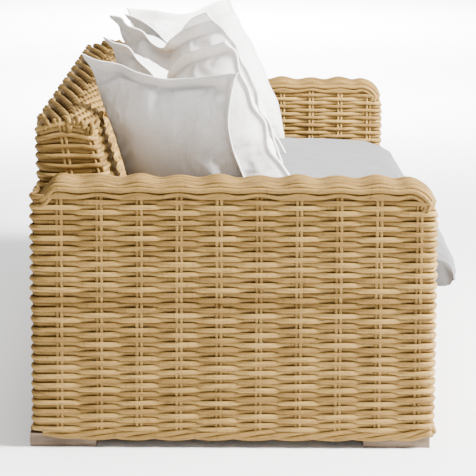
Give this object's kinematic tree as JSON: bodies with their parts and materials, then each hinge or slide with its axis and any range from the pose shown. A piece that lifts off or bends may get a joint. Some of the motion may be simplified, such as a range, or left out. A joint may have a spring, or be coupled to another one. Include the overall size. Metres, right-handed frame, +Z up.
{
  "type": "rattan garden sofa",
  "caption": "Deep garden sofa with a woven round-cane body, boxy arms, raked back, low wood feet, a loose bench cushion and loose flanged scatter cushions.",
  "frame": {"origin": "on the floor under the middle of the sofa's overall box", "axes": "+Z is up, +X runs along the width, to the right seen from the front, and the front faces -Y"},
  "size_m": [2.1, 0.964, 0.8656],
  "materials": {
    "cane_weave": "round cane, satin",
    "cane_border": "rolled round cane, satin",
    "frame_timber": "sawn, sealed",
    "foot_wood": "weathered, matt",
    "screw_zinc": "zinc plated",
    "seat_cloth": "plain woven outdoor cloth, cool white",
    "pillow_linen": "washed linen, matt, with a self flange"
  },
  "bodies": {
    "sofa_frame": {"base_rail_left": "frame_timber", "base_rail_right": "frame_timber", "base_rail_front": "frame_timber", "base_rail_rear": "frame_timber", "arm_post_rear_left": "frame_timber", "arm_post_rear_right": "frame_timber", "arm_post_front_left": "frame_timber", "arm_post_front_right": "frame_timber", "arm_rail_left": "frame_timber", "arm_rail_right": "frame_timber", "seat_rail_left": "frame_timber", "seat_rail_right": "frame_timber", "seat_rail_front": "frame_timber", "seat_rail_rear": "frame_timber", "seat_slat_1": "frame_timber", "seat_slat_2": "frame_timber", "seat_slat_3": "frame_timber", "seat_slat_4": "frame_timber", "seat_slat_5": "frame_timber", "back_rail_top_rear": "frame_timber", "back_rail_top_front": "frame_timber", "back_upright_1": "frame_timber", "back_upright_2": "frame_timber", "back_upright_3": "frame_timber", "back_upright_4": "frame_timber", "back_strut_1": "frame_timber", "back_strut_2": "frame_timber", "back_strut_3": "frame_timber", "back_strut_4": "frame_timber", "foot_screw_rear_left_1": "screw_zinc", "foot_screw_rear_left_2": "screw_zinc", "foot_screw_rear_right_1": "screw_zinc", "foot_screw_rear_right_2": "screw_zinc", "foot_screw_front_left_1": "screw_zinc", "foot_screw_front_left_2": "screw_zinc", "foot_screw_front_right_1": "screw_zinc", "foot_screw_front_right_2": "screw_zinc", "foot_rear_left": "foot_wood", "foot_rear_right": "foot_wood", "foot_front_left": "foot_wood", "foot_front_right": "foot_wood", "arm_weave_left": "cane_weave", "arm_weave_right": "cane_weave", "back_weave": "cane_weave", "seat_deck_weave": "cane_weave", "apron_weave": "cane_weave", "arm_border_left": "cane_border", "arm_border_right": "cane_border", "back_border": "cane_border", "base_border_left": "cane_border", "base_border_right": "cane_border", "base_border_front": "cane_border", "base_border_rear": "cane_border"},
    "bench_cushion": {"seat_cushion": "seat_cloth"},
    "scatter_cushion_1": {"pillow_1": "pillow_linen"},
    "scatter_cushion_2": {"pillow_2": "pillow_linen"},
    "scatter_cushion_3": {"pillow_3": "pillow_linen"},
    "scatter_cushion_4": {"pillow_4": "pillow_linen"},
    "scatter_cushion_5": {"pillow_5": "pillow_linen"}
  },
  "joints": [
    {"name": "bench_cushion_lift", "type": "slide", "parent": "sofa_frame", "child": "bench_cushion", "axis": [0, 0, 1], "range_m": [0, 0.28]},
    {"name": "scatter_cushion_1_lift", "type": "slide", "parent": "bench_cushion", "child": "scatter_cushion_1", "axis": [0.08, 0.33, 0.9406], "range_m": [0, 0.18]},
    {"name": "scatter_cushion_2_lift", "type": "slide", "parent": "bench_cushion", "child": "scatter_cushion_2", "axis": [-0.145, 0.302, 0.9422], "range_m": [0, 0.18]},
    {"name": "scatter_cushion_3_lift", "type": "slide", "parent": "bench_cushion", "child": "scatter_cushion_3", "axis": [-0.117, 0.2925, 0.9491], "range_m": [0, 0.18]},
    {"name": "scatter_cushion_4_lift", "type": "slide", "parent": "bench_cushion", "child": "scatter_cushion_4", "axis": [-0.1406, 0.293, 0.9457], "range_m": [0, 0.18]},
    {"name": "scatter_cushion_5_lift", "type": "slide", "parent": "bench_cushion", "child": "scatter_cushion_5", "axis": [0.1371, 0.4274, 0.8936], "range_m": [0, 0.18]}
  ]
}
